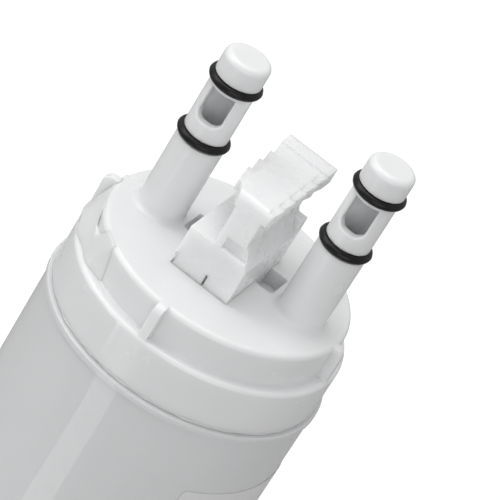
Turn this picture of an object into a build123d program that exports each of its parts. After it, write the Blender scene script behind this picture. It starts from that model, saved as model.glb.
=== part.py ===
"""Push-in water filter cartridge of a fridge, lengths in millimetres.

The cartridge stands upright on its closed end. The origin is the middle of that end,
+Z runs along the cartridge to the ports, and the two ports lie along X with their
windows facing -Y.
"""
import os

from build123d import *

TOLERANCE = 0.01

# Sump, the closed bottle below the weld
SUMP_HEIGHT = 157.5
SUMP_R = 30.5
SUMP_DRAFT = 0.5
SUMP_WALL = 2.4
SUMP_FLOOR = 3.0
SUMP_CORNER_R = 5.0
FOOT_BORDER = 9.0
FOOT_RECESS = 1.2
RIM_STEP = 0.5
RIM_HEIGHT = 1.3
RIM_ROUND = 0.4
STAND_COUNT = 6
STAND_T = 1.6
STAND_START_R = 8.0
STAND_END_GAP = 3.6
STAND_HEIGHT = 6.0

# Weld between sump and head
GROOVE_HEIGHT = 0.7
GROOVE_DEPTH = 1.1
TONGUE_CLEARANCE = 0.2
TONGUE_DEPTH = 4.0
TONGUE_T = 1.6

# Head, the cap with both ports
SKIRT_INSET = 0.4
SKIRT_HEIGHT = 11.2
SKIRT_ROUND = 1.0
LEDGE_W = 2.6
LEDGE_ROUND = 0.5
HUB_HEIGHT = 19.0
HUB_ROUND = 1.2
HEAD_WALL = 3.0
RIB_COUNT = 4
RIB_TURN = -2.0
RIB_T = 2.0
RIB_INSET = 0.5
RIB_ROUND = 2.0
HOOP_START = 172.0
HOOP_T = 1.0
HOOP_DROP = 0.4
LUG_START = 197.0
LUG_END = 226.0
LUG_DROP = 1.2
LUG_SLIT = 0.5
LUG_ROUND = 0.5
LUG_RAMP = 5.0

# Ports
PORT_EDGE = 9.8
PORT_R = 5.2
PORT_NECK_R = 4.85
PORT_END_R = 5.05
PORT_BORE_R = 3.0
PORT_END_H = 6.2
PORT_END_ROUND = 1.4
PORT_FOOT_ROUND = 1.3
SEAL_LOW = 19.3
SEAL_PITCH = 14.0
SEAL_SECTION = 1.78
SEAL_R = 4.93
SEAL_SIDE_GAP = 0.2
SEAL_FLOOR_GAP = 0.1
WINDOW_W = 5.5
WINDOW_H = 7.8
WINDOW_RISE = 4.6
WINDOW_ROUND = 1.7
WINDOW_EDGE = 0.35

# Water ways inside the head
SOCKET_R = 6.5
SOCKET_WALL = 2.2
SOCKET_CEILING = 13.6
SOCKET_LENGTH = 15.0
DUCT_R = 2.3
DUCT_WALL = 1.8

# Filter key, lengths across it are from its own middle
KEY_X = -0.4
KEY_W = 14.0
KEY_FRONT = -14.0
KEY_BACK = 11.4
KEY_SIDE_H = 8.0
KEY_BLOCK_H = 9.6
KEY_RAMP_RUN = 2.6
KEY_RAMP_ROUND = 1.6
WEB_LEFT = -1.4
WEB_FLARE = 0.5
WEB_RIGHT = 4.3
WEB_SHOULDER_Z = 13.0
NOTCH_X = 0.2
NOTCH_D = 3.6
NOTCH_H = 2.6
KEY_BACK_PLATE_T = 2.4
KEY_BACK_PLATE_H = 12.0

# Toothed bar of the key
BAR_W = 8.4
BAR_T = 3.0
BAR_TOP = 21.0
BAR_BACK = 17.2
BAR_CORNER_X = 3.0
BAR_CORNER_Y = 5.6
TOOTH_LENGTH = 1.7
TOOTH_PITCH = 5.1
TEETH_LEFT = 4
TEETH_RIGHT = 5
TOOTH_RAKE = 0.7
TOOTH_DIP = 0.6
END_PLATE_T = 4.0
END_PLATE_RISE = 0.5

# Snap latches of the key and their pockets in the head
LATCH_Y = 3.4
LATCH_W = 5.0
LATCH_T = 1.2
LATCH_REACH = 3.2
LATCH_BARB = 0.9
LATCH_BARB_H = 1.1
LATCH_SLIT_H = 4.6
LATCH_GAP = 0.3
LATCH_FOOT = 0.5
SLIT_W = 0.5
FRONT_SLIT_H = 2.6
FRONT_SLIT_D = 1.6
FRONT_SLIT_PAIR = (-6.9, 0.6)
POCKET_W = 8.0
POCKET_REACH = 4.2
POCKET_DEPTH = 3.6
POCKET_WALL = 1.4
POCKET_ROUND = 0.8

# Filter element inside the sump
FLOW_GAP = 1.9
BLOCK_BORE_R = 7.0
WRAP_T = 1.3
WRAP_GAP = 0.2
CAP_T = 2.6
CAP_LIP_T = 1.2
CAP_LIP_H = 6.0
CAP_LIP_GAP = 0.2
CAP_HEADROOM = 4.0
NECK_GAP = 0.3
NECK_BORE_R = 3.0
NECK_END_GAP = 1.2
NECK_SEAL_PITCH = 3.4
NECK_SEAL_GAP = 0.1

# Label
LABEL_T = 0.2
LABEL_GAP = 0.1
LABEL_TOP = 16.0
LABEL_H = 78.0
LABEL_START = -50.0
LABEL_SPAN = 190.0

# Heights of the main planes
WELD_Z = SUMP_HEIGHT
LEDGE_Z = WELD_Z + SKIRT_HEIGHT
HUB_Z = WELD_Z + HUB_HEIGHT
UNDER_Z = HUB_Z - HEAD_WALL
SOCKET_TOP_Z = WELD_Z + SOCKET_CEILING
SOCKET_MOUTH_Z = SOCKET_TOP_Z - SOCKET_LENGTH
DUCT_Z = SOCKET_TOP_Z - DUCT_R

# Radii that follow the sump
FOOT_R = SUMP_R - SUMP_DRAFT
BORE_R = SUMP_R - SUMP_WALL
BORE_FOOT_R = FOOT_R - SUMP_WALL
TONGUE_R = BORE_R - TONGUE_CLEARANCE
SKIRT_R = SUMP_R - SKIRT_INSET
HUB_R = SKIRT_R - LEDGE_W
RIB_R = SKIRT_R - RIB_INSET

# Ports and their seals
PORT_X = HUB_R - PORT_EDGE
SEAL_HEIGHTS = (HUB_Z + SEAL_LOW, HUB_Z + SEAL_LOW + SEAL_PITCH)
SEAL_GROOVE_R = SEAL_R - SEAL_SECTION / 2 - SEAL_FLOOR_GAP
SEAL_GROOVE_H = SEAL_SECTION + 2 * SEAL_SIDE_GAP
PORT_TOP_Z = SEAL_HEIGHTS[1] + PORT_END_H
WINDOW_Z = SEAL_HEIGHTS[0] + WINDOW_RISE

# Filter element, from the wall of the sump inwards
CAP_R = BORE_FOOT_R - FLOW_GAP
LIP_R = CAP_R - CAP_LIP_T
WRAP_R = LIP_R - CAP_LIP_GAP
BLOCK_R = WRAP_R - WRAP_T - WRAP_GAP
ELEMENT_Z = SUMP_FLOOR + STAND_HEIGHT
BLOCK_Z = ELEMENT_Z + CAP_T
BLOCK_TOP_Z = SOCKET_MOUTH_Z - CAP_HEADROOM - CAP_T
NECK_R = SOCKET_R - NECK_GAP
NECK_TOP_Z = DUCT_Z - DUCT_R - NECK_END_GAP
NECK_SEAL_R = SOCKET_R - NECK_SEAL_GAP - SEAL_SECTION / 2
NECK_GROOVE_R = NECK_SEAL_R - SEAL_SECTION / 2 - NECK_SEAL_GAP
NECK_SEALS = (NECK_TOP_Z - NECK_SEAL_PITCH / 2, NECK_TOP_Z - NECK_SEAL_PITCH * 3 / 2)


def outline(points):
    """A face in the XZ plane from (x, z) corners, where a third number rounds its corner."""
    corners = [(point[0], 0, point[1]) for point in points]
    face = Face(Wire.make_polygon(corners, close=True))
    for corner, point in zip(corners, points):
        if len(point) == 3:
            vertex = face.vertices().sort_by_distance(corner)[0]
            face = face.fillet_2d(point[2], [vertex])
    return face


def turned(points, start=0.0, span=360.0):
    """A body of revolution about Z from its (radius, height) outline."""
    return Rot(0, 0, start) * revolve(outline(points), Axis.Z, revolution_arc=span)


def ring(r_in, r_out, z_low, z_high):
    """A plain tube between two radii and two heights."""
    return turned([(r_in, z_low), (r_out, z_low), (r_out, z_high), (r_in, z_high)])


def cylinder(radius, z_low, z_high, x=0.0):
    """A solid cylinder along Z between two heights."""
    at = Pos(x, 0, z_low)
    return at * Cylinder(radius, z_high - z_low, align=(Align.CENTER, Align.CENTER, Align.MIN))


def block(x_range, y_range, z_range):
    """A box between two values on each axis, given in either order."""
    ranges = [sorted(pair) for pair in (x_range, y_range, z_range)]
    size = [high - low for low, high in ranges]
    at = Pos(*[low for low, high in ranges])
    return at * Box(*size, align=(Align.MIN, Align.MIN, Align.MIN))


def seal_ring(radius, z, x=0.0):
    """An O-ring of the common section, lying flat at height z."""
    return Pos(x, 0, z) * Torus(radius, SEAL_SECTION / 2)


def make_sump():
    """The bottle: drafted outside, even wall, foot recess, weld rim and stand ribs."""
    rim_r = SUMP_R + RIM_STEP
    body = turned([(0, 0), (FOOT_R, 0, SUMP_CORNER_R), (SUMP_R, WELD_Z - RIM_HEIGHT),
                   (rim_r, WELD_Z - RIM_HEIGHT), (rim_r, WELD_Z, RIM_ROUND), (BORE_R, WELD_Z),
                   (BORE_FOOT_R, SUMP_FLOOR, SUMP_CORNER_R - SUMP_WALL), (0, SUMP_FLOOR)])
    body -= cylinder(FOOT_R - FOOT_BORDER, 0, FOOT_RECESS)
    stand = block((STAND_START_R, BORE_FOOT_R - STAND_END_GAP), (-STAND_T / 2, STAND_T / 2),
                  (SUMP_FLOOR - SUMP_WALL / 2, ELEMENT_Z))
    for i in range(STAND_COUNT):
        body += Rot(0, 0, i * 360 / STAND_COUNT) * stand
    return body


def head_shell():
    """The turned cap: tongue, weld groove, skirt, ledge and hub, hollow from below."""
    tongue_z = WELD_Z - TONGUE_DEPTH
    tongue_in = TONGUE_R - TONGUE_T
    skirt_z = WELD_Z + GROOVE_HEIGHT
    groove_r = SKIRT_R - GROOVE_DEPTH
    hub_in = HUB_R - HEAD_WALL
    step_z = LEDGE_Z - HEAD_WALL
    return turned([(tongue_in, tongue_z), (TONGUE_R, tongue_z), (TONGUE_R, WELD_Z), (groove_r, WELD_Z),
                   (groove_r, skirt_z), (SKIRT_R, skirt_z), (SKIRT_R, LEDGE_Z, SKIRT_ROUND),
                   (HUB_R, LEDGE_Z, LEDGE_ROUND), (HUB_R, HUB_Z, HUB_ROUND), (0, HUB_Z), (0, UNDER_Z),
                   (hub_in, UNDER_Z), (hub_in, step_z), (tongue_in, step_z)])


def rib():
    """One gusset of the ring wall, at angle zero, with its outer top corner rounded."""
    root_r = HUB_R - HUB_ROUND
    foot_z = LEDGE_Z - SKIRT_ROUND
    side = outline([(root_r, foot_z), (RIB_R, foot_z), (RIB_R, HUB_Z, RIB_ROUND), (root_r, HUB_Z)])
    return extrude(side, amount=RIB_T / 2, both=True)


def lug():
    """The raised sector that lets the cartridge go in one way round only, ramped at its front end."""
    inner_r = HUB_R + LUG_SLIT
    root_r = HUB_R - HUB_ROUND
    foot_z = LEDGE_Z - SKIRT_ROUND
    top_z = HUB_Z - LUG_DROP
    root_z = LEDGE_Z + LUG_SLIT
    section = [(root_r, foot_z), (RIB_R, foot_z), (RIB_R, top_z, LUG_ROUND), (inner_r, top_z),
               (inner_r, root_z), (root_r, root_z)]
    wall = turned(section, LUG_START, LUG_END - LUG_START)
    ramp = Pos(RIB_R, 0, top_z) * Rot(45, 0, 0) * Box(LUG_RAMP * 2, LUG_RAMP, LUG_RAMP)
    return wall - Rot(0, 0, LUG_END) * ramp


def hoop():
    """The thin wall behind the lug, standing clear of the hub."""
    inner_r = RIB_R - HOOP_T
    foot_z = LEDGE_Z - SKIRT_ROUND
    top_z = HUB_Z - HOOP_DROP
    section = [(inner_r, foot_z), (RIB_R, foot_z), (RIB_R, top_z, LUG_ROUND), (inner_r, top_z)]
    return turned(section, HOOP_START, LUG_START - HOOP_START)


def port_window():
    """The cut for the side window of a port on the Z axis, rounded at the bottom."""
    half = WINDOW_W / 2
    top_z = WINDOW_Z + WINDOW_H
    face = outline([(-half, WINDOW_Z, WINDOW_ROUND), (half, WINDOW_Z, WINDOW_ROUND),
                    (half, top_z), (-half, top_z)])
    return extrude(face, amount=PORT_R, dir=(0, -1, 0))


def make_port():
    """One port on the Z axis: foot round, two seal grooves, blind bore and soft-edged window."""
    half = SEAL_GROOVE_H / 2
    root_r = PORT_R + PORT_FOOT_ROUND * 2
    points = [(0, UNDER_Z), (root_r, UNDER_Z), (root_r, HUB_Z), (PORT_R, HUB_Z, PORT_FOOT_ROUND)]
    radii = (PORT_R, PORT_NECK_R, PORT_END_R)
    for seal_z, below, above in zip(SEAL_HEIGHTS, radii, radii[1:]):
        points += [(below, seal_z - half), (SEAL_GROOVE_R, seal_z - half),
                   (SEAL_GROOVE_R, seal_z + half), (above, seal_z + half)]
    points += [(PORT_END_R, PORT_TOP_Z, PORT_END_ROUND), (0, PORT_TOP_Z)]
    port = turned(points) - cylinder(PORT_BORE_R, UNDER_Z, WINDOW_Z + WINDOW_H) - port_window()
    rim = [e for e in port.edges() if e.center().Y < -PORT_BORE_R
           and WINDOW_Z - TOLERANCE < e.center().Z < WINDOW_Z + WINDOW_H - TOLERANCE
           and abs(Vector(e.center().X, e.center().Y).length - PORT_NECK_R) < WINDOW_EDGE
           and e.bounding_box().size.X < PORT_NECK_R]
    return fillet(rim, WINDOW_EDGE)


def key_side_x(side, inset=0.0):
    """The x of one side of the key's base, or of a plane set in from it."""
    return KEY_X + side * (KEY_W / 2 - inset)


def pocket_floor(side):
    """The thicker stretch of the head that holds the pocket on one side of the key."""
    half_w = POCKET_W / 2 + POCKET_WALL
    inner = key_side_x(side, LATCH_T + LATCH_BARB + LATCH_GAP + POCKET_WALL)
    outer = key_side_x(side, -POCKET_REACH - POCKET_WALL)
    return block((inner, outer), (LATCH_Y - half_w, LATCH_Y + half_w),
                 (HUB_Z - POCKET_DEPTH - POCKET_WALL, UNDER_Z))


def pocket(side):
    """The hollow on one side of the key: the open pocket and the catch for the barb."""
    floor_z = HUB_Z - POCKET_DEPTH
    half_w = POCKET_W / 2
    open_part = block((key_side_x(side, LATCH_T + LATCH_GAP), key_side_x(side, -POCKET_REACH)),
                      (LATCH_Y - half_w, LATCH_Y + half_w), (floor_z, HUB_Z + HUB_ROUND))
    open_part = fillet(open_part.edges().filter_by(Axis.Z), POCKET_ROUND)
    half_w = LATCH_W / 2 + LATCH_GAP
    catch_z = HUB_Z - LATCH_REACH + LATCH_BARB_H + LATCH_GAP
    catch = block((key_side_x(side, LATCH_T + LATCH_BARB + LATCH_GAP), key_side_x(side)),
                  (LATCH_Y - half_w, LATCH_Y + half_w), (floor_z, catch_z))
    return open_part + catch


def make_head():
    """The cap with ribs, lug, ports, key pockets and the water ways inside."""
    head = head_shell() + lug() + hoop()
    for i in range(RIB_COUNT):
        head += Rot(0, 0, RIB_TURN + i * 360 / RIB_COUNT) * rib()
    port = make_port()
    for x in (-PORT_X, PORT_X):
        head -= cylinder(PORT_BORE_R, UNDER_Z, HUB_Z, x)
        head += Pos(x, 0, 0) * port
    for side in (-1, 1):
        head += pocket_floor(side)
    head += cylinder(SOCKET_R + SOCKET_WALL, SOCKET_MOUTH_Z, UNDER_Z)
    duct_half = DUCT_R + DUCT_WALL
    head += block((0, PORT_X + duct_half), (-duct_half, duct_half), (DUCT_Z - duct_half, UNDER_Z))
    # the left port opens into the cap, the right one ends in the duct from the socket
    head -= cylinder(SOCKET_R, SOCKET_MOUTH_Z, SOCKET_TOP_Z)
    head -= Pos(PORT_X / 2, 0, DUCT_Z) * Rot(0, 90, 0) * Cylinder(DUCT_R, PORT_X)
    for x, bore_z in ((-PORT_X, WELD_Z), (PORT_X, DUCT_Z - DUCT_R)):
        head -= cylinder(PORT_BORE_R, bore_z, HUB_Z, x)
    for side in (-1, 1):
        head -= pocket(side)
    return head


def tooth(side, back_y):
    """One tooth of the bar: raked in plan and dipping to its front, so each one makes a step."""
    front_y = back_y - TOOTH_PITCH
    root = KEY_X + side * (BAR_W / 2 - TOOTH_RAKE)
    tip = KEY_X + side * (BAR_W / 2 + TOOTH_LENGTH)
    plan = Polyline((root, front_y), (tip - side * TOOTH_RAKE, front_y), (tip, back_y), (root, back_y),
                    close=True)
    low_z = HUB_Z + BAR_TOP - BAR_T
    body = Pos(0, 0, low_z) * extrude(make_face(plan), amount=BAR_T)
    top_z = HUB_Z + BAR_TOP
    dip = Polyline((KEY_X, front_y, top_z - TOOTH_DIP), (KEY_X, back_y, top_z), (KEY_X, front_y, top_z),
                   close=True)
    return body - extrude(make_face(dip), amount=KEY_W, both=True)


def make_bar():
    """The toothed bar: core, a row of teeth on each side and the end plate."""
    low_z = HUB_Z + BAR_TOP - BAR_T
    top_z = HUB_Z + BAR_TOP
    core = BAR_W / 2
    plate_y = BAR_BACK - END_PLATE_T
    bar = block((KEY_X - core, KEY_X + core), (KEY_FRONT, BAR_BACK), (low_z, top_z))
    for side, count in ((-1, TEETH_LEFT), (1, TEETH_RIGHT)):
        for i in range(count):
            bar += tooth(side, plate_y - i * TOOTH_PITCH)
    # the left front corner is cut off slantwise in plan
    left_x = KEY_X - core
    corner = Polyline((left_x, KEY_FRONT), (left_x + BAR_CORNER_X, KEY_FRONT),
                      (left_x, KEY_FRONT + BAR_CORNER_Y), close=True)
    bar -= Pos(0, 0, low_z) * extrude(make_face(corner), amount=BAR_T)
    reach = core + TOOTH_LENGTH
    bar += block((KEY_X - reach, KEY_X + reach), (plate_y, BAR_BACK), (low_z, top_z + END_PLATE_RISE))
    return bar


def key_body():
    """The base with its shoulders and the web that flares up to the bar, ramped at the front."""
    half = KEY_W / 2
    core = BAR_W / 2
    low_z = HUB_Z + BAR_TOP - BAR_T
    top_z = HUB_Z + BAR_TOP
    section = outline([(-half, HUB_Z), (half, HUB_Z), (half, HUB_Z + KEY_SIDE_H),
                       (WEB_RIGHT, HUB_Z + WEB_SHOULDER_Z), (core, low_z),
                       (WEB_LEFT - WEB_FLARE, low_z), (WEB_LEFT, HUB_Z + KEY_BLOCK_H),
                       (-half, HUB_Z + KEY_BLOCK_H)])
    key = Pos(KEY_X, KEY_FRONT, 0) * extrude(section, amount=KEY_BACK - KEY_FRONT, dir=(0, 1, 0))
    key += block((KEY_X - half, KEY_X + half), (KEY_BACK - KEY_BACK_PLATE_T, KEY_BACK),
                 (HUB_Z, HUB_Z + KEY_BACK_PLATE_H))
    key += make_bar()
    ramp = Polyline((KEY_X, KEY_FRONT, HUB_Z + KEY_BLOCK_H), (KEY_X, KEY_FRONT + KEY_RAMP_RUN, top_z),
                    (KEY_X, KEY_FRONT, top_z), close=True)
    key -= extrude(make_face(ramp), amount=KEY_W, both=True)
    crest = [e for e in key.edges().filter_by(Axis.X) if abs(e.center().Z - top_z) < TOLERANCE
             and abs(e.center().Y - KEY_FRONT - KEY_RAMP_RUN) < TOLERANCE]
    key = fillet(crest, KEY_RAMP_ROUND)
    return key - block((KEY_X + NOTCH_X, KEY_X + half), (KEY_FRONT, KEY_FRONT + NOTCH_D),
                       (HUB_Z + KEY_BLOCK_H, HUB_Z + KEY_BLOCK_H + NOTCH_H))


def make_key():
    """The snap-in key: body with toothed bar, front slits and a latch on each side."""
    key = key_body()
    for x in FRONT_SLIT_PAIR:
        key -= block((KEY_X + x, KEY_X + x + SLIT_W), (KEY_FRONT, KEY_FRONT + FRONT_SLIT_D),
                     (HUB_Z, HUB_Z + FRONT_SLIT_H))
    for side in (-1, 1):
        face, inside = key_side_x(side), key_side_x(side, LATCH_T)
        for edge in (-1, 1):
            y = LATCH_Y + edge * LATCH_W / 2
            key -= block((face, inside), (y, y + edge * SLIT_W), (HUB_Z, HUB_Z + LATCH_SLIT_H))
        latch_y = (LATCH_Y - LATCH_W / 2, LATCH_Y + LATCH_W / 2)
        foot_z = HUB_Z - LATCH_REACH
        key += block((face, inside), latch_y, (foot_z, HUB_Z + LATCH_FOOT))
        key += block((face, key_side_x(side, LATCH_T + LATCH_BARB)), latch_y,
                     (foot_z, foot_z + LATCH_BARB_H))
    return key


def make_bottom_cap():
    """The closed end cap of the filter element, with a lip round the wrap."""
    lip_z = BLOCK_Z + CAP_LIP_H
    return turned([(0, ELEMENT_Z), (CAP_R, ELEMENT_Z), (CAP_R, lip_z), (LIP_R, lip_z),
                   (LIP_R, BLOCK_Z), (0, BLOCK_Z)])


def make_top_cap():
    """The open end cap of the filter element, with its neck and two seal grooves."""
    lip_z = BLOCK_TOP_Z - CAP_LIP_H
    cap_z = BLOCK_TOP_Z + CAP_T
    cap = turned([(NECK_BORE_R, BLOCK_TOP_Z), (LIP_R, BLOCK_TOP_Z), (LIP_R, lip_z), (CAP_R, lip_z),
                  (CAP_R, cap_z), (NECK_R, cap_z), (NECK_R, NECK_TOP_Z), (NECK_BORE_R, NECK_TOP_Z)])
    half = SEAL_SECTION / 2 + SEAL_SIDE_GAP
    for z in NECK_SEALS:
        cap -= ring(NECK_GROOVE_R, NECK_R + TOLERANCE, z - half, z + half)
    return cap


def make_label():
    """The bare sticker wrapped round the front of the sump."""
    corners = []
    for z, skin in ((WELD_Z - LABEL_TOP - LABEL_H, 0), (WELD_Z - LABEL_TOP, 1)):
        inner = SUMP_R - SUMP_DRAFT * (WELD_Z - z) / WELD_Z + LABEL_GAP
        pair = [(inner, z), (inner + LABEL_T, z)]
        corners += pair if skin == 0 else pair[::-1]
    return turned(corners, LABEL_START, LABEL_SPAN)


parts = {
    "sump": make_sump(),
    "head": make_head(),
    "filter_key": make_key(),
    "carbon_block": ring(BLOCK_BORE_R, BLOCK_R, BLOCK_Z, BLOCK_TOP_Z),
    "sediment_wrap": ring(BLOCK_R + WRAP_GAP, WRAP_R, BLOCK_Z, BLOCK_TOP_Z),
    "element_bottom_cap": make_bottom_cap(),
    "element_top_cap": make_top_cap(),
    "label": make_label(),
}
for level, z in zip(("lower", "upper"), SEAL_HEIGHTS):
    for name, x in (("left", -PORT_X), ("right", PORT_X)):
        parts[f"{name}_port_{level}_seal"] = seal_ring(SEAL_R, z, x)
for level, z in zip(("upper", "lower"), NECK_SEALS):
    parts[f"element_{level}_seal"] = seal_ring(NECK_SEAL_R, z)

os.makedirs("parts", exist_ok=True)
for name, shape in parts.items():
    export_step(shape, f"parts/{name}.step")
    print(name, len(shape.solids()), round(shape.volume))
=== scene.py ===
# %% [markdown]
# # A push-in water filter cartridge
# The cartridge is a moulded bottle, the sump, with a cap welded on it. The cap carries two ports
# with O-rings and a translucent key that snaps in between them. The solids come from the packed
# frame, in metres, with the closed end on the floor and the ports up. This lesson dresses them:
# it models the visible pieces with soft edges, gives each surface a procedural finish, and lights
# the whole as a catalogue picture on white.

# %% Load the frame
import math

import bmesh
import bpy
from mathutils import Matrix, Vector


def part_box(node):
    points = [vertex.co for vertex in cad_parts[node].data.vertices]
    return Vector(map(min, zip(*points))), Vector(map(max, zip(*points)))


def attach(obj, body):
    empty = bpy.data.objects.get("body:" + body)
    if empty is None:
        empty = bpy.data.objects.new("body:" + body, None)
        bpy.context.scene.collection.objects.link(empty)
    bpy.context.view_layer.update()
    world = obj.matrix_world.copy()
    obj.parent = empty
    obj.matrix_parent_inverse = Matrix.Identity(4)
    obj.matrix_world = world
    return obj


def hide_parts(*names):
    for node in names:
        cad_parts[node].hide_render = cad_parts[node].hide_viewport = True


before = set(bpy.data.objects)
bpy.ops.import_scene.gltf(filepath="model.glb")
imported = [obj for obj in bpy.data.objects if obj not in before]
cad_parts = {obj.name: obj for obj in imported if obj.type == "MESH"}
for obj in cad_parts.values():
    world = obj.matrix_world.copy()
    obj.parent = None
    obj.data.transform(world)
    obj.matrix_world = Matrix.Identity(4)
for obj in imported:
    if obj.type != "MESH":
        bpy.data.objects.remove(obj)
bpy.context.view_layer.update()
mm = 0.001
BODY = "root"

# %% [markdown]
# ## Finishes
# A finish is a small node tree round one Principled shader. A few helpers keep the trees short:
# one starts a material, one sets the plain values of a node, one adds a node with its values, and
# one links two sockets.

# %% Helpers for node trees
def new_material(name):
    """A material with nothing but a Principled shader on its output."""
    material = bpy.data.materials.new(name)
    material.use_nodes = True
    return material, material.node_tree.nodes["Principled BSDF"]


def set_inputs(node, values):
    """Plain values for some sockets of a node."""
    for name, value in values.items():
        node.inputs[name].default_value = value


def add_node(material, kind, inputs=None):
    """A node of one kind, with the values of its sockets."""
    node = material.node_tree.nodes.new(kind)
    set_inputs(node, inputs or {})
    return node


def join(material, start, end):
    """A link from one socket to another."""
    material.node_tree.links.new(start, end)


def tell(*materials):
    """Prints how large the node tree of each material is."""
    for material in materials:
        print(material.name, "has", len(material.node_tree.nodes), "nodes")


# %% [markdown]
# Every moulded surface has some soft noise. It reads Object coordinates, so it stays on the piece
# when the camera moves. Noise is a number between 0 and 1 that is mostly near the middle. So what
# it steers, a colour or a gloss, runs its whole course between 0.3 and 0.7. As a height it gives a
# bump, and bumps can be laid over each other, slow waves first and the fine grain on top.

# %% Noise and what it steers
NOISE_LOW, NOISE_HIGH = 0.3, 0.7


def object_noise(material, grain, detail, stretch=(1.0, 1.0, 1.0)):
    """Noise in object space whose grain, in metres, is about the size of one blotch."""
    place = add_node(material, "ShaderNodeTexCoord")
    mapping = add_node(material, "ShaderNodeMapping", {"Scale": stretch})
    noise = add_node(material, "ShaderNodeTexNoise", {"Scale": 1 / grain, "Detail": detail})
    join(material, place.outputs["Object"], mapping.inputs["Vector"])
    join(material, mapping.outputs["Vector"], noise.inputs["Vector"])
    return noise.outputs["Fac"]


def ramp_between(material, value, low, high):
    """A colour between two, as a noise value runs its course."""
    ramp = add_node(material, "ShaderNodeValToRGB")
    first, last = ramp.color_ramp.elements
    first.position, first.color = NOISE_LOW, (*low, 1)
    last.position, last.color = NOISE_HIGH, (*high, 1)
    join(material, value, ramp.inputs["Fac"])
    return ramp.outputs["Color"]


def spread_between(material, value, low, high):
    """A number between two, as a noise value runs its course."""
    spread = add_node(material, "ShaderNodeMapRange",
                      {"From Min": NOISE_LOW, "From Max": NOISE_HIGH, "To Min": low, "To Max": high})
    join(material, value, spread.inputs["Value"])
    return spread.outputs["Result"]


def bump(material, height, strength, distance, below=None):
    """A bump of a height between 0 and 1, laid over another bump where one is given."""
    node = add_node(material, "ShaderNodeBump", {"Strength": strength, "Distance": distance})
    join(material, height, node.inputs["Height"])
    if below:
        join(material, below, node.inputs["Normal"])
    return node.outputs["Normal"]


# %% [markdown]
# Moulded white plastic is never one white. Its colour drifts a little where the melt cooled at
# another pace, its gloss is uneven, and a slow waviness bends the reflections. A thin layer below
# the surface lets light through, which softens edges. The drift and the gloss could come from
# painted maps, but noise in object space needs no unwrapping and never shows a seam. The same
# recipe with other numbers gives the cap, the sump, the label film and the end caps inside.

# %% Moulded plastic
PLASTIC_IOR = 1.49


def scatter(shader, weight, depth):
    """Light that goes into plastic and comes out again some way off, alike in all colours."""
    set_inputs(shader, {"IOR": PLASTIC_IOR, "Subsurface Weight": weight,
                        "Subsurface Radius": (1.0, 1.0, 1.0), "Subsurface Scale": depth})


def moulded_plastic(name, light, dark, rough, subsurface, wave=0.3, depth=1.2 * mm):
    """White plastic with drifting colour, uneven gloss, slow waves and a fine grain."""
    material, shader = new_material(name)
    drift = object_noise(material, grain=22 * mm, detail=3.0)
    join(material, ramp_between(material, drift, dark, light), shader.inputs["Base Color"])
    gloss = object_noise(material, grain=7 * mm, detail=4.0)
    join(material, spread_between(material, gloss, *rough), shader.inputs["Roughness"])
    slow = object_noise(material, grain=11 * mm, detail=1.0)
    waves = bump(material, slow, strength=wave, distance=0.12 * mm)
    fine = object_noise(material, grain=0.3 * mm, detail=2.0)
    grain = bump(material, fine, strength=0.1, distance=0.006 * mm, below=waves)
    join(material, grain, shader.inputs["Normal"])
    scatter(shader, subsurface, depth)
    return material


cap_plastic = moulded_plastic("cap plastic", light=(0.800, 0.805, 0.810), dark=(0.780, 0.785, 0.790),
                              rough=(0.22, 0.28), subsurface=0.6, depth=2.0 * mm)
sump_plastic = moulded_plastic("sump plastic", light=(0.700, 0.706, 0.712), dark=(0.680, 0.686, 0.692),
                               rough=(0.05, 0.08), subsurface=0.15)
label_film = moulded_plastic("label film", light=(0.75, 0.75, 0.75), dark=(0.735, 0.735, 0.735),
                             rough=(0.20, 0.25), subsurface=0.0, wave=0.6)
element_plastic = moulded_plastic("end cap plastic", light=(0.74, 0.75, 0.74), dark=(0.70, 0.71, 0.70),
                                  rough=(0.35, 0.5), subsurface=0.1)
tell(cap_plastic, sump_plastic, label_film, element_plastic)

# %% [markdown]
# The key is the same kind of plastic without pigment. Light goes into it and comes out somewhere
# else, so it looks milky, its edges glow and its shadows are weak. Real glass-like transmission
# would be too clear, and would show every unevenness inside. So the look is all subsurface
# scattering, over a few millimetres.

# %% Translucent plastic of the key
def natural_plastic(name):
    """Unpigmented plastic: milky, lit through, with soft cloudiness."""
    material, shader = new_material(name)
    cloud = object_noise(material, grain=7 * mm, detail=2.0)
    milk = ramp_between(material, cloud, low=(0.81, 0.815, 0.82), high=(0.83, 0.835, 0.84))
    join(material, milk, shader.inputs["Base Color"])
    gloss = object_noise(material, grain=3 * mm, detail=3.0)
    join(material, spread_between(material, gloss, low=0.24, high=0.34), shader.inputs["Roughness"])
    slow = object_noise(material, grain=5 * mm, detail=1.0)
    waves = bump(material, slow, strength=0.3, distance=0.1 * mm)
    fine = object_noise(material, grain=0.25 * mm, detail=2.0)
    grain = bump(material, fine, strength=0.06, distance=0.004 * mm, below=waves)
    join(material, grain, shader.inputs["Normal"])
    scatter(shader, weight=1.0, depth=2.8 * mm)
    return material


key_plastic = natural_plastic("key plastic")
tell(key_plastic)

# %% [markdown]
# The O-rings are black rubber with a film of grease. Rubber swallows almost all light, so what the
# eye reads is the soft highlight round the section. A low index of refraction keeps it weak, a
# thin glossy coat gives it a bright core, and a fine blotch breaks it up, as grease never lies
# evenly.

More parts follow.
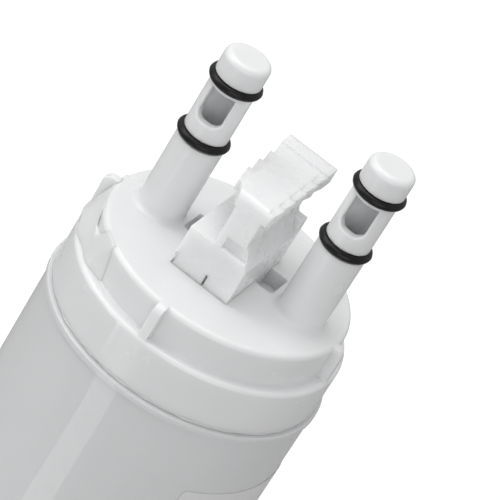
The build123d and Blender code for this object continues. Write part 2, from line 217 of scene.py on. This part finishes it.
# %% Rubber of the O-rings
def seal_rubber(name):
    """Black rubber with a film of grease: dark, slightly blotched, with a soft gloss."""
    material, shader = new_material(name)
    blotch = object_noise(material, grain=1.4 * mm, detail=4.0)
    black = ramp_between(material, blotch, low=(0.004, 0.004, 0.0042), high=(0.009, 0.009, 0.0093))
    join(material, black, shader.inputs["Base Color"])
    join(material, spread_between(material, blotch, low=0.3, high=0.45), shader.inputs["Roughness"])
    fine = object_noise(material, grain=0.18 * mm, detail=3.0)
    join(material, bump(material, fine, strength=0.2, distance=0.01 * mm), shader.inputs["Normal"])
    set_inputs(shader, {"IOR": 1.26, "Coat Weight": 0.2, "Coat Roughness": 0.08})
    return material


rubber = seal_rubber("seal rubber")
tell(rubber)

# %% [markdown]
# Nobody sees the filter element in the closed cartridge, but a cut-open view would. Pressed carbon
# is granular and matt, and the fleece round it is a mat of fibres. One recipe does for both: a
# noise that gives the colour and the relief. For the fleece it is stretched along the sleeve,
# which turns its blotches into fibres.

# %% Carbon and fleece inside
def matt_relief(name, grain, low, high, strength, distance, rough, stretch=(1.0, 1.0, 1.0)):
    """A matt surface whose colour and relief come from the same noise."""
    material, shader = new_material(name)
    relief = object_noise(material, grain, detail=6.0, stretch=stretch)
    join(material, ramp_between(material, relief, low, high), shader.inputs["Base Color"])
    join(material, bump(material, relief, strength, distance), shader.inputs["Normal"])
    set_inputs(shader, {"Roughness": rough})
    return material


carbon = matt_relief("pressed carbon", 0.8 * mm, low=(0.012, 0.012, 0.012), high=(0.05, 0.05, 0.05),
                     strength=0.6, distance=0.3 * mm, rough=0.9)
wrap_fleece = matt_relief("wrap fleece", 1.2 * mm, low=(0.72, 0.72, 0.70), high=(0.88, 0.88, 0.86),
                          strength=0.5, distance=0.2 * mm, rough=0.95, stretch=(1.0, 1.0, 0.15))
tell(carbon, wrap_fleece)

# %% [markdown]
# Each solid of the frame gets its finish. The outer ones are replaced by better pieces further
# down, so this is what shows on the filter element inside.

# %% Dress the nodes
FINISH = {
    "sump": sump_plastic, "head": cap_plastic, "filter_key": key_plastic, "label": label_film,
    "carbon_block": carbon, "sediment_wrap": wrap_fleece,
    "element_bottom_cap": element_plastic, "element_top_cap": element_plastic,
}
for name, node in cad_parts.items():
    node.data.materials.clear()
    node.data.materials.append(FINISH.get(name, rubber))
print("nodes with a finish:", len(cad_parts))

# %% [markdown]
# ## Soft edges on the moulded pieces
# A solid from CAD has edges of no radius, where a steel mould has always been broken by a stone. A
# sharp edge catches no light, and that is what gives a computer picture away. The frame's meshes
# are loose triangles, so each moulded piece is made again from a copy: the doubles are merged, and
# the flat faces are dissolved into whole ones. Modelling the pieces again by hand would only lose
# the sizes of the solids.

# %% Helpers for pieces
NODE_DOUBLES = 0.002 * mm
FLAT = math.radians(0.03)


def add_object(name, data):
    """An object of a mesh, a light or a camera, linked to the scene."""
    made = bpy.data.objects.new(name, data)
    bpy.context.scene.collection.objects.link(made)
    return made


def mesh_object(work, name):
    """An object whose mesh is a bmesh, which is used up."""
    data = bpy.data.meshes.new(name)
    work.to_mesh(data)
    work.free()
    return add_object(name, data)


def finish_piece(work, name, material, replaces):
    """Turns a bmesh into a piece of the model, which may stand in for nodes of the frame."""
    piece = mesh_object(work, name)
    piece.data.materials.append(material)
    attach(piece, BODY)
    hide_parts(*replaces)
    print(name, "has", len(piece.data.polygons), "faces")
    return piece


def merged_copy(node_name):
    """A copy of a node with its doubles merged and its flat faces made whole."""
    work = bmesh.new()
    work.from_mesh(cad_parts[node_name].data)
    bmesh.ops.remove_doubles(work, verts=work.verts, dist=NODE_DOUBLES)
    bmesh.ops.dissolve_limit(work, angle_limit=FLAT, verts=work.verts, edges=work.edges)
    return work


# %% [markdown]
# A Bevel modifier then rounds every edge that is sharper than its limit. Smooth shading alone
# would smear the turn of the narrow round over the wide face beside it. A Weighted Normal modifier
# stops that: it lets the large faces decide. It needs the sharp edges marked beforehand, because
# where the bevel has no room its strips end in points, and these would shade as dark streaks.

# %% Round the edges
AREA_WEIGHT = 80


def smooth_shading(work, sharper_than=180):
    """Smooth faces, with every edge marked sharp that turns by more degrees than a limit."""
    for face in work.faces:
        face.smooth = True
    for edge in work.edges:
        edge.smooth = edge.calc_face_angle(0.0) < math.radians(sharper_than)


def soft_edges(piece, width, sharper_than=32, segments=2):
    """A small round on every edge that is sharper than a limit in degrees."""
    work = bmesh.new()
    work.from_mesh(piece.data)
    smooth_shading(work, sharper_than)
    work.to_mesh(piece.data)
    work.free()
    rounding = piece.modifiers.new("edge rounds", "BEVEL")
    rounding.limit_method = "ANGLE"
    rounding.angle_limit = math.radians(sharper_than)
    rounding.width = width
    rounding.segments = segments
    rounding.use_clamp_overlap = True
    shading = piece.modifiers.new("even shading", "WEIGHTED_NORMAL")
    shading.mode = "FACE_AREA"
    shading.weight = AREA_WEIGHT
    shading.keep_sharp = True


# %% [markdown]
# ## Bottle
# The bottle is the solid with its edges rounded by about a tenth of a millimetre, as much as a
# mould's edges lose in use. It is almost mirror-smooth, so its shape shows in the long reflections
# of the lights.

# %% Bottle
MOULD_ROUND = 0.14 * mm
bottle = finish_piece(merged_copy("sump"), "bottle", sump_plastic, ["sump"])
soft_edges(bottle, MOULD_ROUND)

# %% [markdown]
# ## Cap
# The cap takes the solid's shape, except at its left back. There the real cap has a sloping web
# between the hub and the ledge, which runs out smoothly at its front. A solid for that would be a
# heavy one, so the solid has a plain raised lug, and the web is modelled here. First the lug, the
# thin wall behind it and their rib are cut away from the copy. A Boolean modifier does it with a
# ring sector, because a cut by planes can't follow the round hub. The cut keeps a hair off the
# hub and a hair above the ledge, down into the round at its rim, so that it leaves both alone.

# %% Sector that is cut away
HUB_HEIGHT, HUB_R, SKIRT_R = 19.0, 27.5, 30.1
CUT_START, CUT_SPAN, CUT_STEPS = 171.0, 57.0, 57
CUT_OUTLINE = [(27.52, 1.0), (27.52, -7.79), (29.1, -7.79), (29.3, -7.81), (29.5, -7.873),
               (29.62, -7.94), (29.62, 1.0)]
SPUN_DOUBLES = 0.001 * mm
weld_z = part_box("sump")[1].z
HUB_Z = weld_z + HUB_HEIGHT * mm


def turned(angle):
    """A turn about the cartridge's axis, by an angle in degrees."""
    return Matrix.Rotation(math.radians(angle), 3, "Z")


def sector(outline, start, span, steps):
    """A closed ring sector, spun from (radius, height above the hub's top) corners in mm."""
    work = bmesh.new()
    corners = [work.verts.new((radius * mm, 0, HUB_Z + height * mm)) for radius, height in outline]
    face = work.faces.new(corners)
    bmesh.ops.rotate(work, verts=corners, cent=(0, 0, 0), matrix=turned(start))
    bmesh.ops.spin(work, geom=[face], cent=(0, 0, 0), axis=(0, 0, 1), angle=math.radians(span), steps=steps)
    bmesh.ops.remove_doubles(work, verts=work.verts, dist=SPUN_DOUBLES)
    bmesh.ops.recalc_face_normals(work, faces=work.faces)
    ends = [face for face in work.faces if len(face.verts) == len(outline)]
    print("sector of", span, "degrees with", len(ends), "end faces")
    return work


cutter = mesh_object(sector(CUT_OUTLINE, CUT_START, CUT_SPAN, CUT_STEPS), "cutter")

# %% [markdown]
# The Boolean's result is read back as the cap's mesh, so that the cutter can go. The skirt is a
# plain cylinder, but its facets have all sorts of widths after the cut, and averaged normals would
# show them as faint stripes. On a cylinder the right normal is known: it points straight away from
# the axis. So the rounded mesh is kept, and its wall gets those normals.

# %% Cap without the sector
MOST_LEAN = 0.02
OFF_WALL = 0.02 * mm


def cut_away(name, cutter):
    """The merged copy of a node without what a cutter covers, as a bmesh."""
    whole = mesh_object(merged_copy(name), "whole " + name)
    cut = whole.modifiers.new("cut", "BOOLEAN")
    cut.operation = "DIFFERENCE"
    cut.solver = "EXACT"
    cut.object = cutter
    bpy.context.view_layer.update()
    work = bmesh.new()
    work.from_object(whole, bpy.context.evaluated_depsgraph_get())
    for spare in (whole, cutter):
        bpy.data.objects.remove(spare)
    bmesh.ops.remove_doubles(work, verts=work.verts, dist=NODE_DOUBLES)
    print("open edges left by the cut:", sum(len(edge.link_faces) != 2 for edge in work.edges))
    return work


def wall_points(mesh, radius):
    """The points of a mesh's upright faces that lie on a cylinder with all their corners."""
    found = set()
    for face in mesh.polygons:
        corners = [mesh.vertices[index].co for index in face.vertices]
        off = max(abs(math.hypot(co.x, co.y) - radius) for co in corners)
        if abs(face.normal.z) < MOST_LEAN and off < OFF_WALL:
            found.update(face.vertices)
    return found


def true_round(piece, radius):
    """Keeps the rounded mesh and shades a plain cylinder of it exactly outward."""
    ready = piece.evaluated_get(bpy.context.evaluated_depsgraph_get())
    kept = bpy.data.meshes.new_from_object(ready)
    on_wall = wall_points(kept, radius)
    normals = [corner.vector.copy() for corner in kept.corner_normals]
    for loop in kept.loops:
        if loop.vertex_index in on_wall:
            co = kept.vertices[loop.vertex_index].co
            normals[loop.index] = Vector((co.x, co.y, 0)).normalized()
    piece.modifiers.clear()
    piece.data = kept
    kept.normals_split_custom_set(normals)
    print(piece.name, "points shaded as a cylinder:", len(on_wall))


cap = finish_piece(cut_away("head", cutter), "cap", cap_plastic, ["head"])
soft_edges(cap, MOULD_ROUND)
true_round(cap, SKIRT_R * mm)

# %% [markdown]
# The web is spun as a flat ring sector and then shaped: each top corner gets the height that
# belongs to its angle and radius. Behind, it slopes from just below the hub's edge to the rim of
# the ledge. Further on a slit opens between it and the hub, and then the slope swells into a soft
# fairing, which closes the slit and sinks into the ledge. A few smooth steps between the three
# shapes are easier to steer than a net of hand-placed points.

# %% Heights of the web
# Heights above the hub's top and radii are in mm, angles in degrees
SLOPE_TOP, SLOPE_DROP, SLOPE_START_R = -0.7, 7.3, 27.55
RIM_BACK_R, RIM_FRONT_R = 30.4, 28.6
RIM_DRAWS_IN = (198.0, 224.0)
DROP_PAST_RIM = 3.0
SLIT_FLOOR, SLIT_W = -2.9, 0.7
SLIT_DEEPENS, SLIT_WIDENS = (204.0, 212.0), (204.0, 220.0)
FAIRING_TOP, FAIRING_DROP, FAIRING_DIP = -0.08, 8.2, 0.3
FAIRING_RISES_R, FAIRING_FALLS_R = (26.5, 26.95), (27.05, 29.3)
SLOPE_TO_FAIRING = (217.0, 223.0)
SUNK, SINKS = -9.4, (225.5, 233.0)
HUB_SIDE_LATER, HUB_SIDE_R = 6.5, (27.4, 28.4)


def smooth_step(value, start, end):
    """0 before start, 1 after end, and an even S between."""
    share = min(max((value - start) / (end - start), 0.0), 1.0)
    return share * share * (3 - 2 * share)


def blend(first, second, share):
    """A value between two."""
    return first + (second - first) * share


def slope_height(angle, radius):
    """The slope from the hub to a rim that draws in towards the front, with the slit."""
    rim = blend(RIM_BACK_R, RIM_FRONT_R, smooth_step(angle, *RIM_DRAWS_IN))
    way = min(max((radius - SLOPE_START_R) / (rim - SLOPE_START_R), 0.0), 1.0)
    height = SLOPE_TOP - SLOPE_DROP * way - DROP_PAST_RIM * max(radius - rim, 0.0)
    if radius < HUB_R + SLIT_W * smooth_step(angle, *SLIT_WIDENS):
        height = blend(height, SLIT_FLOOR, smooth_step(angle, *SLIT_DEEPENS))
    return height


def fairing_height(radius):
    """The soft fall from the hub's top to the ledge, with a start inside the hub's round."""
    start = FAIRING_DIP * (1.0 - smooth_step(radius, *FAIRING_RISES_R))
    return FAIRING_TOP - FAIRING_DROP * smooth_step(radius, *FAIRING_FALLS_R) - start


def web_height(angle, radius):
    """Height of the web above the hub's top, in mm, at an angle in degrees and a radius in mm."""
    to_fairing = smooth_step(angle, *SLOPE_TO_FAIRING)
    height = blend(slope_height(angle, radius), fairing_height(radius), to_fairing)
    later = HUB_SIDE_LATER * (1.0 - smooth_step(radius, *HUB_SIDE_R))
    return blend(height, SUNK, smooth_step(angle - later, *SINKS))


for angle in (180, 200, 215, 230):
    print("web at", angle, "degrees:", [round(web_height(angle, radius), 1) for radius in (27, 28, 29, 30)])

# %% [markdown]
# The rings of points lie closest where the slit and the hub's round need them. The outer strip is
# drawn in towards the front, where it would stand out over the skirt, and edges that turn sharply
# are marked, so that the slit keeps a crisp lip.

# %% Sloping web
WEB_START, WEB_SPAN, WEB_STEPS = 179.0, 66.0, 132
WEB_UNDER, WEB_ROOF = -9.6, 1.0
WEB_INNER_R, WEB_FOOT_R = 26.3, 30.05
STRIP_R, STRIP_SHARE, STRIP_DRAWS_IN = 28.1, 0.78, (188.0, 202.0)
WEB_CRISP = 35


def rings(first, step, count):
    """Radii at even steps, one for each ring of points."""
    return [first + step * i for i in range(count)]


web_radii = rings(WEB_INNER_R, 0.2, 6) + rings(HUB_R, 0.1, 7) + rings(28.3, 0.2, 10) + [30.25, RIM_BACK_R]
web_outline = [(radius, WEB_ROOF) for radius in web_radii]
web_outline += [(WEB_FOOT_R, WEB_UNDER), (WEB_INNER_R, WEB_UNDER)]
web_mesh = sector(web_outline, WEB_START, WEB_SPAN, WEB_STEPS)
for vert in web_mesh.verts:
    angle = math.degrees(math.atan2(vert.co.y, vert.co.x)) % 360
    radius = math.hypot(vert.co.x, vert.co.y) / mm
    if radius > STRIP_R:
        share = blend(1.0, STRIP_SHARE, smooth_step(angle, *STRIP_DRAWS_IN))
        pulled = (STRIP_R + (radius - STRIP_R) * share) / radius
        vert.co.x, vert.co.y = vert.co.x * pulled, vert.co.y * pulled
    if vert.co.z > HUB_Z:
        vert.co.z = HUB_Z + web_height(angle, math.hypot(vert.co.x, vert.co.y) / mm) * mm
smooth_shading(web_mesh, WEB_CRISP)
web = finish_piece(web_mesh, "web", cap_plastic, [])

# %% [markdown]
# The rib at the back of the web is a plate between the hub and the ledge's rim with a rounded
# outer corner, like the three that the cap has already. Its outline is drawn as one face, its
# corner is rounded by a vertex bevel, and it is extruded through its thickness. Its inner edge lies
# inside the hub and dips a little, so that no two flat faces lie in one plane and flicker.

# %% Rib behind the web
RIB_T = 2.0 * mm
RIB_ANGLE = 182.5
RIB_OUTLINE = [(26.9, -0.15), (HUB_R, 0.0), (30.4, 0.0), (30.2, -8.3), (26.9, -8.6)]
OUTER_CORNER = 2
CORNER_ROUND, CORNER_STEPS = 2.0 * mm, 8
RIB_ROUND = 0.3 * mm


def rib_mesh():
    """The rib, standing on the X axis and then turned to its place."""
    work = bmesh.new()
    verts = [work.verts.new((radius * mm, -RIB_T / 2, HUB_Z + height * mm)) for radius, height in RIB_OUTLINE]
    work.faces.new(verts)
    bmesh.ops.bevel(work, geom=[verts[OUTER_CORNER]], offset=CORNER_ROUND, offset_type="OFFSET",
                    affect="VERTICES", segments=CORNER_STEPS, profile=0.5, material=-1)
    grown = bmesh.ops.extrude_face_region(work, geom=work.faces[:])
    moved = [item for item in grown["geom"] if isinstance(item, bmesh.types.BMVert)]
    bmesh.ops.translate(work, verts=moved, vec=(0, RIB_T, 0))
    bmesh.ops.recalc_face_normals(work, faces=work.faces)
    bmesh.ops.rotate(work, verts=work.verts, cent=(0, 0, 0), matrix=turned(RIB_ANGLE))
    return work


rib = finish_piece(rib_mesh(), "back_rib", cap_plastic, [])
soft_edges(rib, RIB_ROUND, sharper_than=30, segments=3)

# %% [markdown]
# ## Weld
# The cap is spin-welded on the bottle, and a little melt fills the groove between them. Without it
# the groove would be a black slot. The bead is a circle led round the axis, as the O-rings are
# further down. Three waves of different lengths push its outside in and out by up to two tenths of
# a millimetre, because melt never sets as an even ring.

# %% Bead in the groove
BEAD_R, BEAD_SECTION, BEAD_ABOVE_WELD = 29.62 * mm, 0.42 * mm, 0.35 * mm
BEAD_UNEVEN = 0.0022


def spun_ring(centre, radius, section, steps, section_steps, flash=0.0):
    """A round section led round an upright axis, with a parting line that stands out by flash."""
    work = bmesh.new()
    upright = Matrix.Rotation(math.pi / 2, 4, "X")
    place = Matrix.Translation((centre.x + radius, centre.y, centre.z)) @ upright
    bmesh.ops.create_circle(work, segments=section_steps, radius=section, matrix=place)
    outermost = max(work.verts, key=lambda vert: vert.co.x)
    outermost.co.x += flash
    bmesh.ops.spin(work, geom=work.verts[:] + work.edges[:], cent=centre, axis=(0, 0, 1),
                   angle=2 * math.pi, steps=steps, use_merge=True)
    bmesh.ops.remove_doubles(work, verts=work.verts, dist=SPUN_DOUBLES)
    bmesh.ops.recalc_face_normals(work, faces=work.faces)
    smooth_shading(work)
    return work


def weld_bead():
    """A ring of melt that lies in the groove, uneven along its way."""
    centre = Vector((0, 0, weld_z + BEAD_ABOVE_WELD))
    work = spun_ring(centre, BEAD_R, BEAD_SECTION, steps=240, section_steps=12)
    for vert in work.verts:
        angle = math.atan2(vert.co.y, vert.co.x)
        waves = math.sin(11 * angle) + math.sin(23 * angle + 1.0) + math.sin(41 * angle + 2.0)
        push = 1 + BEAD_UNEVEN * waves
        vert.co.x, vert.co.y = vert.co.x * push, vert.co.y * push
    return work


bead = finish_piece(weld_bead(), "weld_bead", sump_plastic, [])

# %% [markdown]
# ## Label
# The sticker is a thin film with rounded corners, laid on the bottle. A grid gives the film enough
# points to bend, the points outside a corner's arc are drawn in to it, and the flat film is then
# wrapped round the slightly tapered wall and given its thickness. It carries no print. An Edge
# Split modifier keeps its cut edge crisp.

# %% Blank label
LABEL_START, LABEL_SPAN = -47.0, 185.0
LABEL_CORNER, LABEL_T, LABEL_OFF_WALL = 1.2, 0.14, 0.03
LABEL_GRID = {"x_segments": 186, "y_segments": 52}
LABEL_CRISP = 40
WALL_FOOT_R, WALL_TAPER, WALL_MEAN_R = 30.0, 0.5, 30.3
label_low, label_high = (value.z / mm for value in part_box("label"))
label_height = label_high - label_low
label_length = math.radians(LABEL_SPAN) * WALL_MEAN_R
print("label, flat:", round(label_length, 1), "by", round(label_height, 1), "mm")


def flat_label():
    """The film as a flat grid in mm round the origin, with round corners."""
    work = bmesh.new()
    bmesh.ops.create_grid(work, **LABEL_GRID, size=0.5)
    for vert in work.verts:
        vert.co.x *= label_length
        vert.co.y *= label_height
        over_x = abs(vert.co.x) - (label_length / 2 - LABEL_CORNER)
        over_y = abs(vert.co.y) - (label_height / 2 - LABEL_CORNER)
        if over_x > 0 and over_y > 0:
            shrink = min(1.0, LABEL_CORNER / math.hypot(over_x, over_y))
            vert.co.x = math.copysign(abs(vert.co.x) - over_x * (1 - shrink), vert.co.x)
            vert.co.y = math.copysign(abs(vert.co.y) - over_y * (1 - shrink), vert.co.y)
    return work


def wrapped_label():
    """The film on the bottle: bent round the tapered wall, with faces out, and thick."""
    work = flat_label()
    for vert in work.verts:
        height = label_low + label_height / 2 + vert.co.y
        angle = math.radians(LABEL_START + LABEL_SPAN / 2) + vert.co.x / WALL_MEAN_R
        radius = WALL_FOOT_R + WALL_TAPER * height * mm / weld_z + LABEL_OFF_WALL
        vert.co = Vector((radius * math.cos(angle), radius * math.sin(angle), height)) * mm
    bmesh.ops.recalc_face_normals(work, faces=work.faces)
    first = work.faces[0]
    away = first.calc_center_median() * Vector((1, 1, 0))
    if first.normal.dot(away) < 0:
        bmesh.ops.reverse_faces(work, faces=work.faces)
    bmesh.ops.solidify(work, geom=work.faces[:], thickness=-LABEL_T * mm)
    bmesh.ops.recalc_face_normals(work, faces=work.faces)
    smooth_shading(work)
    return work


label = finish_piece(wrapped_label(), "label_film", label_film, ["label"])
crisp = label.modifiers.new("edge", "EDGE_SPLIT")
crisp.split_angle = math.radians(LABEL_CRISP)

# %% [markdown]
# ## Key
# The key is a soft, fast moulding with full rounds, which is what makes its steps look melted
# together. Its front has a small step where the web meets the block. In the solid the step is a
# deep notch that would look black, but the real key is lit from inside. So the back wall of the
# notch comes forward until a shallow step is left. The foot goes a little into the cap, so that
# the round along it doesn't open a dark line.

# %% Key
NOTCH_DEPTH, NOTCH_FORWARD = 3.6 * mm, 2.4 * mm
NOTCH_LEFT, NOTCH_BOTTOM, NOTCH_TOP = -1 * mm, 9 * mm, 12.5 * mm
NOTCH_NEAR, FOOT_NEAR = 0.02 * mm, 0.01 * mm
FOOT_SUNK = 0.4 * mm
KEY_ROUND = 0.22 * mm
key_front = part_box("filter_key")[0].y
key_mesh = merged_copy("filter_key")


def on_notch(co):
    """Whether a point lies on the back wall of the notch."""
    deep = abs(co.y - key_front - NOTCH_DEPTH) < NOTCH_NEAR
    return deep and co.x > NOTCH_LEFT and HUB_Z + NOTCH_BOTTOM < co.z < HUB_Z + NOTCH_TOP


notch = [vert for vert in key_mesh.verts if on_notch(vert.co)]
foot = [vert for vert in key_mesh.verts if abs(vert.co.z - HUB_Z) < FOOT_NEAR]
bmesh.ops.translate(key_mesh, verts=notch, vec=(0, -NOTCH_FORWARD, 0))
bmesh.ops.translate(key_mesh, verts=foot, vec=(0, 0, -FOOT_SUNK))
print("corners moved: notch", len(notch), "and foot", len(foot))
key = finish_piece(key_mesh, "key", key_plastic, ["filter_key"])
soft_edges(key, KEY_ROUND, sharper_than=25, segments=3)

# %% [markdown]
# ## O-rings
# An O-ring is a round section led round a circle, so a circle is spun. A torus primitive would do
# for the shape, but not for the parting line: the two halves of the mould leave a hair of rubber
# round the outside. It is made by pushing the outermost point of the section out before the spin.
# The two rings on the filter element inside do without it.

# %% Six O-rings
FLASH = 0.035 * mm


def seal_ring(name):
    """An O-ring of the size of its node."""
    low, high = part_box(name)
    section = (high.z - low.z) / 2
    radius = (high.x - low.x) / 2 - section
    flash = 0.0 if name.startswith("element") else FLASH
    work = spun_ring((low + high) / 2, radius, section, steps=120, section_steps=28, flash=flash)
    return finish_piece(work, name + "_ring", rubber, [name])


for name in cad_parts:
    if name.endswith("_seal"):
        seal_ring(name)

# %% [markdown]
# ## Picture
# The camera looks down on the ports with a long lens and is rolled, so that the cartridge leans
# across the picture and runs out of it below. It could be placed by eye. Here it is worked out: the
# middle of the weld has to land on one pixel, and a millimetre there has to cover a known number of
# pixels. The lens follows from the distance and that scale.

# %% Camera
FRAME_PX = 500
WELD_PX = (187.4, 329.0)
PX_PER_MM = 4.98
AZIMUTH, ELEVATION, ROLL = (math.radians(angle) for angle in (11.0, 32.5, 31.86))
DISTANCE = 0.75
SENSOR = 36.0
NEAREST = 0.01
target = Vector((0, 0, weld_z))
target_px = Vector(WELD_PX)
focal_px = PX_PER_MM * DISTANCE / mm

back = Vector((math.sin(AZIMUTH) * math.cos(ELEVATION),
               -math.cos(AZIMUTH) * math.cos(ELEVATION),
               math.sin(ELEVATION)))
across = Vector((math.cos(AZIMUTH), math.sin(AZIMUTH), 0))
upright = back.cross(across)
right = math.cos(ROLL) * across + math.sin(ROLL) * upright
up = math.cos(ROLL) * upright - math.sin(ROLL) * across
facing = Matrix((right, up, back)).transposed()
seen = Vector((target_px.x - FRAME_PX / 2, FRAME_PX / 2 - target_px.y, -focal_px))
turn = seen.rotation_difference(Vector((0, 0, -1))).to_matrix()

camera_data = bpy.data.cameras.new("camera")
camera_data.sensor_width = SENSOR
camera_data.lens = focal_px / FRAME_PX * SENSOR
camera_data.clip_start = NEAREST
camera = add_object("camera", camera_data)
camera.matrix_world = Matrix.Translation(target + back * DISTANCE) @ (facing @ turn).to_4x4()
bpy.context.scene.camera = camera
print("lens", round(camera_data.lens, 1), "mm")

# %% [markdown]
# White plastic on white is drawn by its reflections and its slow shades. Large softboxes above, in
# front and on the left give the round forms an even fall of light, and a narrow strip low in front
# gives the glossy bottle its one bright line. An even white world fills the shadows. A studio
# picture wrapped round the scene could do the same, but single lights can be moved one by one.

# %% Light
def area_light(name, size, direction, distance, power):
    """A soft rectangular light that looks at the weld from one direction."""
    data = bpy.data.lights.new(name, "AREA")
    data.shape = "RECTANGLE"
    data.size, data.size_y = size
    data.energy = power
    light = add_object(name, data)
    towards = Vector(direction).normalized()
    light.location = target + towards * distance
    light.rotation_mode = "QUATERNION"
    light.rotation_quaternion = towards.to_track_quat("Z", "Y")
    print(name, "at", tuple(round(value, 2) for value in light.location), "with", power, "W")


area_light("top softbox", size=(0.9, 0.9), direction=(-0.30, 0.1, 1.0), distance=1.0, power=4.9)
area_light("front softbox", size=(0.8, 0.8), direction=(0.60, -1.0, 0.35), distance=1.0, power=2.3)
area_light("left softbox", size=(0.6, 0.8), direction=(-1.0, -0.35, 0.70), distance=1.0, power=2.6)
area_light("low strip", size=(0.064, 0.14), direction=(-0.302, -0.953, -0.60), distance=0.23, power=0.037)

world = bpy.data.worlds.new("studio")
bpy.context.scene.world = world
world.use_nodes = True
set_inputs(world.node_tree.nodes["Background"], {"Color": (1, 1, 1, 1), "Strength": 0.53})

# %% [markdown]
# The cartridge stands on a large sheet of paper. A catalogue picture has pure white round the
# object, but a floor that bright would throw too much light on the bottle's foot. So the paper is
# grey to the light, and its missing white is an emission that only camera rays see. A soft contact
# shadow is left.

# %% Floor
FLOOR_SIZE = 4.0
floor_mesh = bmesh.new()
bmesh.ops.create_grid(floor_mesh, x_segments=1, y_segments=1, size=FLOOR_SIZE)
floor = mesh_object(floor_mesh, "floor")
paper, paper_shader = new_material("paper")
set_inputs(paper_shader, {"Base Color": (0.42, 0.42, 0.42, 1), "Roughness": 0.8,
                          "Emission Color": (0.66, 0.66, 0.66, 1)})
path = add_node(paper, "ShaderNodeLightPath")
join(paper, path.outputs["Is Camera Ray"], paper_shader.inputs["Emission Strength"])
floor.data.materials.append(paper)
tell(paper)

# %% [markdown]
# The Standard view shows a white as bright as it is lit, where a film-like view would grey it.

# %% View settings
bpy.context.scene.view_settings.view_transform = "Standard"
